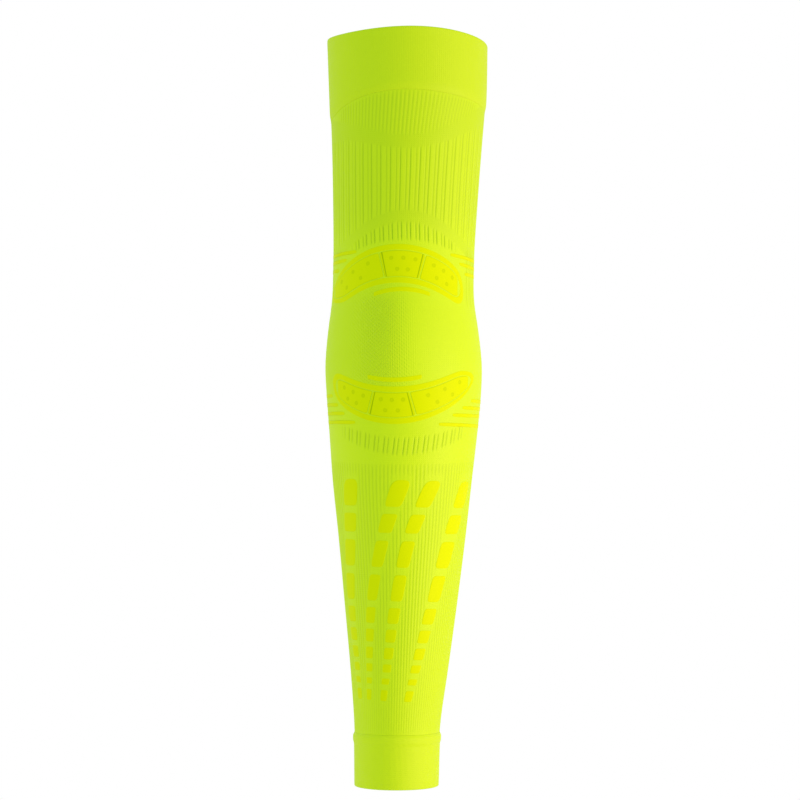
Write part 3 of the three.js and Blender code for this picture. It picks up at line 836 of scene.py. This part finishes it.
def knit_material(name, crest, shade_colour, wales):
    """Knit in its own colour, which the groove attribute darkens towards a painted shade colour.
    Its height is a sum, where off is the distance from the wale's middle: cos(2 pi (course +
    rise * off)) draws the V shapes, -off * (wales + ridge * grain) lets the wales stand up, and
    twill * grain * cos(pi (wale - course)) draws the tucked stitches."""
    material, tree = new_material(name)
    stitches = add_node(tree, "ShaderNodeUVMap", uv_map="stitches")
    count = add_node(tree, "ShaderNodeSeparateXYZ", {"Vector": stitches.outputs["UV"]})
    wale, course = count.outputs["X"], count.outputs["Y"]
    grain = add_node(tree, "ShaderNodeAttribute", attribute_name="grain").outputs["Fac"]
    groove = add_node(tree, "ShaderNodeAttribute", attribute_name="groove").outputs["Fac"]

    off = reckon(tree, "ABSOLUTE", reckon(tree, "SUBTRACT", reckon(tree, "FRACT", wale), 0.5))
    leg = reckon(tree, "MULTIPLY_ADD", off, LEG_RISE, course)
    wave = reckon(tree, "COSINE", reckon(tree, "MULTIPLY", leg, 2 * np.pi))
    slope = reckon(tree, "MULTIPLY_ADD", grain, -RIDGE, -wales)
    ridged = reckon(tree, "MULTIPLY_ADD", off, slope, wave)
    drop = reckon(tree, "SUBTRACT", wale, course)
    twill = reckon(tree, "COSINE", reckon(tree, "MULTIPLY", drop, np.pi))
    tucked = reckon(tree, "MULTIPLY", twill, grain)
    height = reckon(tree, "MULTIPLY_ADD", tucked, TWILL, ridged)
    bump = add_node(tree, "ShaderNodeBump", {
        "Height": height, "Strength": 1.0, "Distance": RELIEF * MM})

    # Painted shade: the colour darkens with the groove attribute, which holds the groove's depth and
    # the tube's darkening
    shade = add_node(tree, "ShaderNodeMapRange", {"Value": groove, "From Max": FULL_SHADE_DEPTH})
    add_surface(tree, {
        "Base Color": two_tone(tree, shade.outputs["Result"], crest, shade_colour),
        "Roughness": 0.6, "IOR": 1.53, "Specular IOR Level": 0.15,
        "Normal": bump.outputs["Normal"]})
    return material


# The last value is the slope of a wale's sides on the whole piece
tube_knit = knit_material("rib knit, nylon and elastane yarn", KNIT_GREEN, GROOVE_SHADE_GREEN, 2.0)
cuff_knit = knit_material(
    "plain double knit, nylon and elastane yarn", CUFF_GREEN, CUFF_GREEN, 5.0)
wrist_knit = knit_material(
    "light double knit, nylon and elastane yarn", WRIST_GREEN, WRIST_GREEN, 7.0)

# %% [markdown]
# ## The film
# Hot pressing leaves the film a smooth satin skin that is nearly matt. It is told from the knit by
# its yellow and its even face more than by any shine. Where it is pressed, it takes on green.

# %% Film material
FILM_YELLOW, PRESSED_GREEN = "#B6D300", "#88AE00"

film, tree = new_material("elastic film, hot pressed satin skin")
bare = add_node(tree, "ShaderNodeAttribute", attribute_name="bare").outputs["Fac"]
add_surface(tree, {
    "Base Color": two_tone(tree, bare, FILM_YELLOW, PRESSED_GREEN),
    "Roughness": 0.5, "IOR": 1.48, "Specular IOR Level": 0.015})

for piece, material in ((tube, tube_knit), (upper_cuff, cuff_knit), (wrist_cuff, wrist_knit)):
    piece.data.materials.append(material)
for piece in films.values():
    piece.data.materials.append(film)
print("Materials:", sorted(material.name for material in (tube_knit, cuff_knit, wrist_knit, film)))

# %% [markdown]
# ## Floor and room
# The photo has a white room of light. Here the world is that room, and a pale floor lies well below.

# %% Floor and world
# Level and radius in metres, and sides
FLOOR_LEVEL, FLOOR_RADIUS, FLOOR_SIDES = -0.50, 0.70, 64

ring = np.linspace(0, 2 * np.pi, FLOOR_SIDES, endpoint=False)
corners = [(FLOOR_RADIUS * np.cos(turn), FLOOR_RADIUS * np.sin(turn), FLOOR_LEVEL) for turn in ring]
floor_mesh = bpy.data.meshes.new("floor")
floor_mesh.from_pydata(corners, [], [list(range(FLOOR_SIDES))])
floor = add_object("floor", floor_mesh)
paper, tree = new_material("matt white paper")
add_surface(tree, {"Base Color": linear("#F4F4F2"), "Roughness": 0.9})
floor_mesh.materials.append(paper)

world = bpy.data.worlds.new("white room")
world.use_nodes = True
tree = world.node_tree
tree.nodes.clear()
room = add_node(tree, "ShaderNodeBackground", {"Color": linear("#FFFFFF"), "Strength": 1.0})
add_node(tree, "ShaderNodeOutputWorld", {"Surface": room.outputs["Background"]})
bpy.context.scene.world = world

# %% [markdown]
# ## Lamps
# A broad soft lamp from the right makes the knit glow there, and a weak one from the left lifts the
# far edge. A bright dye of this kind looks green in the shade and yellow in the light, which one base
# colour under white lamps would not do. The tints of the two lamps stand for that shift.

# %% Lamps
# Level in metres that the lamps are turned to
AIM_LEVEL = -0.2


def lamp(name, azimuth, distance, height, size, power, tint):
    """Square soft lamp at an azimuth from the front (positive to the right), turned to the sleeve."""
    data = bpy.data.lights.new(name, "AREA")
    data.shape, data.size, data.energy, data.color = "SQUARE", size, power, linear(tint)[:3]
    light = add_object(name, data)
    side = np.radians(azimuth)
    light.location = (distance * np.sin(side), -distance * np.cos(side), height)
    light.rotation_euler = (np.arctan2(distance, height - AIM_LEVEL), 0, side)


lamp("key", azimuth=66, distance=0.9, height=-0.3, size=0.5, power=8.0, tint="#FFBAFF")
lamp("side", azimuth=-90, distance=0.8, height=-0.4, size=0.5, power=1.9, tint="#FFC495")
bpy.context.scene.view_settings.view_transform = "Standard"

# %% [markdown]
# ## Pieces on the root
# Each piece stands for the CAD node of its name, whose part is hidden, and moves with a body.
# Nothing on the sleeve moves as a hard part, so all pieces ride on the root.

# %% Pieces on the root, CAD parts hidden
films_and_cloth = {"arm_tube": tube, "upper_cuff": upper_cuff, "wrist_cuff": wrist_cuff, **films}
for node, piece in films_and_cloth.items():
    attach(piece, "root")
    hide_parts(node)
print("Pieces:", len(films_and_cloth))
